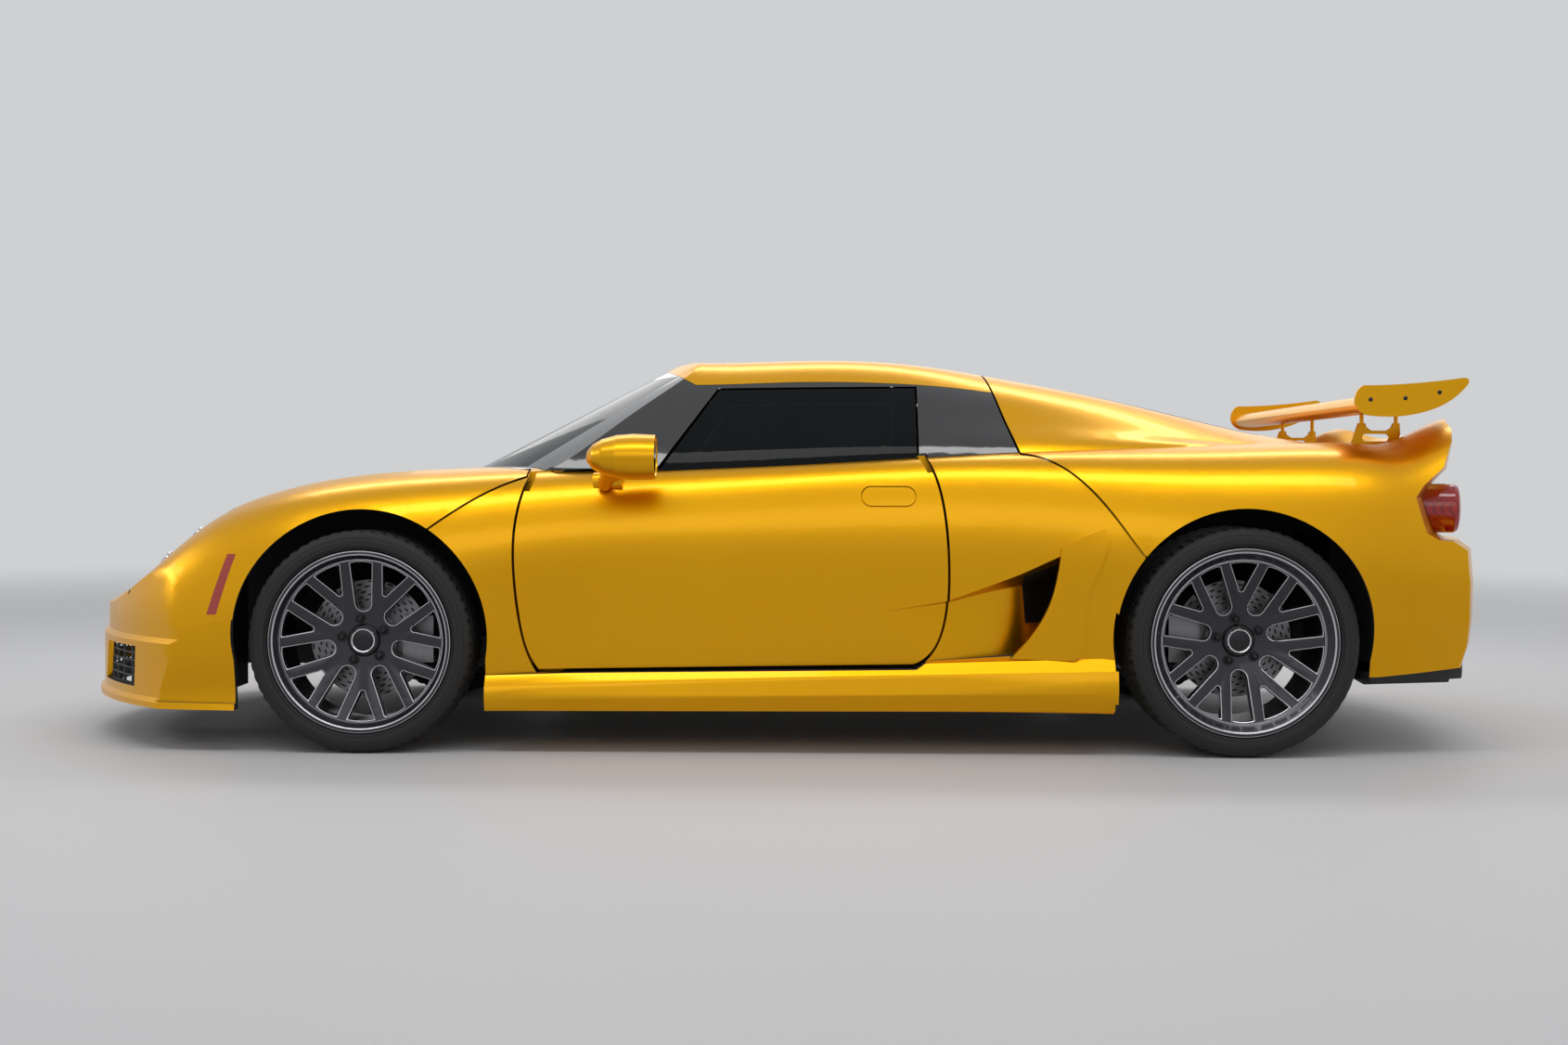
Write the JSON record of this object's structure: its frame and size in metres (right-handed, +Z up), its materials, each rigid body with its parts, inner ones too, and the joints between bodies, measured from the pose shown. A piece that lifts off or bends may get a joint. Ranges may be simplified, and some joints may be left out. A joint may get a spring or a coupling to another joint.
{
  "type": "mid-engined coupe car",
  "caption": "Low two-seat sports coupe with tilting front and rear clamshells, opening doors, steered front wheels and a fixed rear wing.",
  "frame": {"origin": "centre of the car's bounding box in plan, on the floor under the tyres", "axes": "+X towards the tail (the nose points to -X), +Y towards the car's right side, +Z up"},
  "size_m": [4.216, 2.06, 1.1285],
  "materials": {
    "body_paint": "pearl gold-yellow lacquer, high gloss",
    "black_gloss": "gloss black lacquer",
    "black_satin": "satin black moulding",
    "tinted_glass": "dark tinted glass",
    "clear_lens": "clear lamp cover",
    "red_lens": "red lamp lens",
    "amber_lens": "red-orange marker lens",
    "wheel_metal": "satin dark grey alloy",
    "disc_iron": "machined iron",
    "tyre_rubber": "matte tyre rubber",
    "chassis_metal": "grey-black powder coat",
    "steel_parts": "plated steel",
    "engine_alloy": "cast alloy",
    "cabin_trim": "grained black trim",
    "seat_leather": "black leather",
    "chrome_tip": "polished steel"
  },
  "bodies": {
    "root": {"centre_console": "cabin_trim", "crash_box": "black_satin", "dashboard": "cabin_trim", "engine": "engine_alloy", "flank_left": "body_paint", "flank_right": "body_paint", "front_wishbones": "steel_parts", "quarter_panels": "black_gloss", "rear_suspension": "steel_parts", "rear_window": "tinted_glass", "roof": "body_paint", "screen_frame": "black_gloss", "seats": "seat_leather", "side_intakes": "black_satin", "silencer": "steel_parts", "steering_wheel": "seat_leather", "tub": "chassis_metal", "windscreen": "tinted_glass"},
    "front_clam": {"front_clamshell": "body_paint", "front_grilles": "black_satin", "headlamps": "clear_lens", "lamp_units": "steel_parts", "side_markers": "amber_lens"},
    "rear_clam": {"diffuser": "black_satin", "engine_cover": "black_satin", "exhaust_tips": "chrome_tip", "rear_clamshell": "body_paint", "rear_wing": "body_paint", "tail_lamps": "red_lens", "wing_struts": "body_paint"},
    "door_left": {"door_glass_left": "tinted_glass", "door_handle_left": "body_paint", "door_left": "body_paint", "mirror_left": "body_paint"},
    "door_right": {"door_glass_right": "tinted_glass", "door_handle_right": "body_paint", "door_right": "body_paint", "mirror_right": "body_paint"},
    "steer_left": {"knuckle_left": "steel_parts"},
    "steer_right": {"knuckle_right": "steel_parts"},
    "wheel_front_left": {"brake_disc_front_left": "disc_iron", "rim_front_left": "wheel_metal", "tyre_front_left": "tyre_rubber"},
    "wheel_front_right": {"brake_disc_front_right": "disc_iron", "rim_front_right": "wheel_metal", "tyre_front_right": "tyre_rubber"},
    "wheel_rear_left": {"brake_disc_rear_left": "disc_iron", "rim_rear_left": "wheel_metal", "tyre_rear_left": "tyre_rubber"},
    "wheel_rear_right": {"brake_disc_rear_right": "disc_iron", "rim_rear_right": "wheel_metal", "tyre_rear_right": "tyre_rubber"}
  },
  "joints": [
    {"name": "front_clam_tilt", "type": "hinge", "parent": "root", "child": "front_clam", "pos_m": [-1.905, 0, 0.235], "axis": [0, -1, 0], "range_deg": [0, 38]},
    {"name": "rear_clam_tilt", "type": "hinge", "parent": "root", "child": "rear_clam", "pos_m": [1.945, 0, 0.29], "axis": [0, 1, 0], "range_deg": [0, 45]},
    {"name": "door_left_swing", "type": "hinge", "parent": "root", "child": "door_left", "pos_m": [-0.666, -0.866, 0.534], "axis": [0, 0, -1], "range_deg": [0, 62]},
    {"name": "door_right_swing", "type": "hinge", "parent": "root", "child": "door_right", "pos_m": [-0.666, 0.866, 0.534], "axis": [0, 0, 1], "range_deg": [0, 62]},
    {"name": "steer_left_turn", "type": "hinge", "parent": "root", "child": "steer_left", "pos_m": [-1.15, -0.66, 0.308], "axis": [0, 0.2079, 0.9781], "range_deg": [-30, 30]},
    {"name": "steer_right_turn", "type": "hinge", "parent": "root", "child": "steer_right", "pos_m": [-1.15, 0.66, 0.308], "axis": [0, -0.2079, 0.9781], "range_deg": [-30, 30]},
    {"name": "wheel_front_left_spin", "type": "hinge", "parent": "steer_left", "child": "wheel_front_left", "pos_m": [-1.15, -0.79, 0.308], "axis": [0, 1, 0], "continuous": true},
    {"name": "wheel_front_right_spin", "type": "hinge", "parent": "steer_right", "child": "wheel_front_right", "pos_m": [-1.15, 0.79, 0.308], "axis": [0, 1, 0], "continuous": true},
    {"name": "wheel_rear_left_spin", "type": "hinge", "parent": "root", "child": "wheel_rear_left", "pos_m": [1.288, -0.79, 0.317], "axis": [0, 1, 0], "continuous": true},
    {"name": "wheel_rear_right_spin", "type": "hinge", "parent": "root", "child": "wheel_rear_right", "pos_m": [1.288, 0.79, 0.317], "axis": [0, 1, 0], "continuous": true}
  ],
  "couplings": [
    {"joint": "steer_right_turn", "follows": "steer_left_turn", "ratio": 1}
  ]
}
